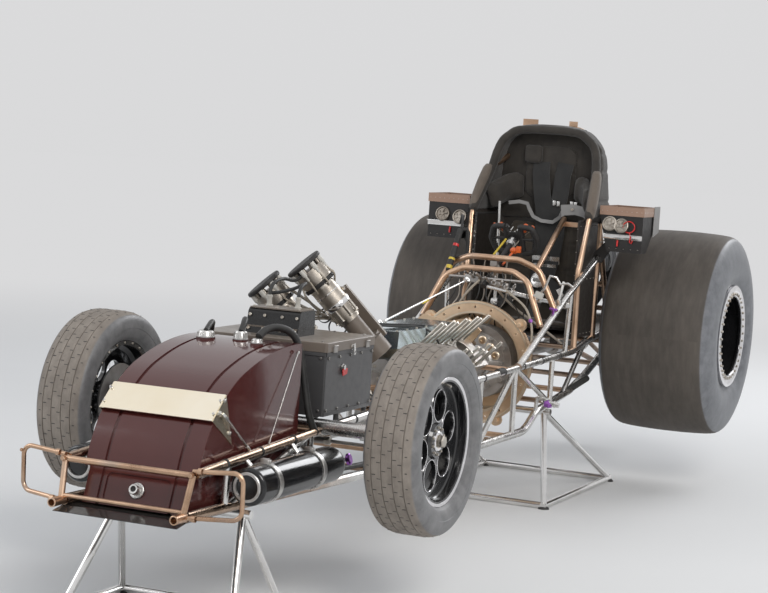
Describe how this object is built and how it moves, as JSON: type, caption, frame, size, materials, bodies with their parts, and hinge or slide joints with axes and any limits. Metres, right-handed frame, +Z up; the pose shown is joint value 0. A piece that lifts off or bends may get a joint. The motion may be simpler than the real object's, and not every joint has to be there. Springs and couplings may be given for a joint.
{
  "type": "drag racing car",
  "caption": "Long tube-frame drag racing car with its body off and engine open, slick rear tyres, roll cage and side trays, on two stands.",
  "frame": {"origin": "on the floor under the middle of the car's outline, where the stands' feet rest", "axes": "+X to the car's left side, -Y to the nose, +Y to the tail, +Z up"},
  "size_m": [1.556, 5.152, 1.61],
  "materials": {
    "chassis_silver": "polished nickel look on welded tube",
    "chassis_bronze": "heat-tinted bronze look on welded tube",
    "chassis_black": "gloss black",
    "tank_maroon": "gloss maroon",
    "mirror_strip": "mirror polished",
    "anodised_purple": "anodised",
    "bottle_black": "gloss black",
    "box_grey": "satin dark grey",
    "lid_grey": "satin grey",
    "coil_black": "gloss black",
    "magneto_alloy": "machined",
    "drive_brown": "dusty coat",
    "billet_alloy": "machined billet",
    "piston_alloy": "sooty",
    "stud_steel": "ground",
    "plate_blue": "light blue mirror",
    "titanium_bronze": "heat-tinted",
    "tub_dark": "satin dark brown",
    "padding_dark": "woven cover",
    "seat_leather": "matt",
    "yoke_black": "grained",
    "tyre_front": "dusty",
    "tyre_rear": "scrubbed",
    "wheel_black": "gloss black",
    "disc_steel": "ground",
    "axle_steel": "satin",
    "pack_fabric": "woven nylon",
    "tray_black": "satin black",
    "tray_copper": "copper brown",
    "stand_chrome": "chrome",
    "caster_rubber": "hard rubber"
  },
  "bodies": {
    "chassis": {"front_bumper": "chassis_bronze", "skid_pan": "chassis_black", "fuel_tank": "tank_maroon", "tank_fittings": "anodised_purple", "tank_deflector": "mirror_strip", "bottle_left": "bottle_black", "bottle_right": "bottle_black", "bottle_straps": "chassis_silver", "frame_braces": "chassis_silver", "electronics_box": "box_grey", "box_lid": "lid_grey", "coil_box": "coil_black", "magnetos": "magneto_alloy", "magneto_drive": "drive_brown", "engine_block": "billet_alloy", "pistons": "piston_alloy", "head_studs": "stud_steel", "valley_cover": "plate_blue", "front_case": "billet_alloy", "oil_pan": "billet_alloy", "bellhousing": "titanium_bronze", "motor_plate": "billet_alloy", "driveline": "axle_steel", "side_frame_left": "chassis_silver", "side_frame_right": "chassis_silver", "shoulder_bars": "chassis_silver", "cross_members": "chassis_bronze", "dash_hoops": "chassis_bronze", "roll_cage": "chassis_bronze", "cockpit_tub": "tub_dark", "surround": "padding_dark", "seat": "seat_leather", "head_rest": "padding_dark", "column_collar": "axle_steel", "front_axle": "chassis_silver", "rack_housing": "billet_alloy", "axle_housing": "billet_alloy", "wheelie_bar": "chassis_bronze", "parachute_packs": "pack_fabric", "side_tray_left": "tray_black", "side_tray_right": "tray_black", "tray_lips": "tray_copper", "front_stand": "stand_chrome", "rear_stand": "stand_chrome"},
    "knuckle_left": {"knuckle_left": "axle_steel"},
    "knuckle_right": {"knuckle_right": "axle_steel"},
    "rack_bar": {"steering_rack": "axle_steel"},
    "front_wheel_left_turning": {"front_tyre_left": "tyre_front", "front_wheel_left": "wheel_black", "front_disc_left": "disc_steel"},
    "front_wheel_right_turning": {"front_tyre_right": "tyre_front", "front_wheel_right": "wheel_black", "front_disc_right": "disc_steel"},
    "rear_axle_turning": {"axle_shaft": "axle_steel", "rear_tyre_left": "tyre_rear", "rear_tyre_right": "tyre_rear", "rear_wheel_left": "wheel_black", "rear_wheel_right": "wheel_black"},
    "wheelie_wheel_pair": {"wheelie_wheels": "caster_rubber"},
    "yoke_and_column": {"yoke": "yoke_black"}
  },
  "joints": [
    {"name": "steer_left", "type": "hinge", "parent": "chassis", "child": "knuckle_left", "pos_m": [0.452, -1.664, 0.561], "axis": [0, 0, 1], "range_deg": [-15, 15]},
    {"name": "steer_right", "type": "hinge", "parent": "chassis", "child": "knuckle_right", "pos_m": [-0.452, -1.664, 0.561], "axis": [0, 0, 1], "range_deg": [-15.05, 15.05]},
    {"name": "rack_travel", "type": "slide", "parent": "chassis", "child": "rack_bar", "axis": [1, 0, 0], "range_m": [-0.0316, 0.0316]},
    {"name": "yoke_turn", "type": "hinge", "parent": "chassis", "child": "yoke_and_column", "pos_m": [0, 0.666, 1.096], "axis": [0, 0.8718, 0.4898], "range_deg": [-90.5, 90.5]},
    {"name": "front_wheel_left_spin", "type": "hinge", "parent": "knuckle_left", "child": "front_wheel_left_turning", "pos_m": [0.588, -1.664, 0.561], "axis": [1, 0, 0], "continuous": true},
    {"name": "front_wheel_right_spin", "type": "hinge", "parent": "knuckle_right", "child": "front_wheel_right_turning", "pos_m": [-0.588, -1.664, 0.561], "axis": [1, 0, 0], "continuous": true},
    {"name": "rear_axle_spin", "type": "hinge", "parent": "chassis", "child": "rear_axle_turning", "pos_m": [0, 1.511, 0.692], "axis": [1, 0, 0], "continuous": true},
    {"name": "wheelie_wheel_spin", "type": "hinge", "parent": "chassis", "child": "wheelie_wheel_pair", "pos_m": [0, 2.514, 0.346], "axis": [1, 0, 0], "continuous": true}
  ],
  "couplings": [
    {"joint": "steer_right", "follows": "steer_left", "ratio": 1},
    {"joint": "rack_travel", "follows": "steer_left", "m_per_rad": -0.12},
    {"joint": "yoke_turn", "follows": "steer_left", "ratio": 6}
  ]
}
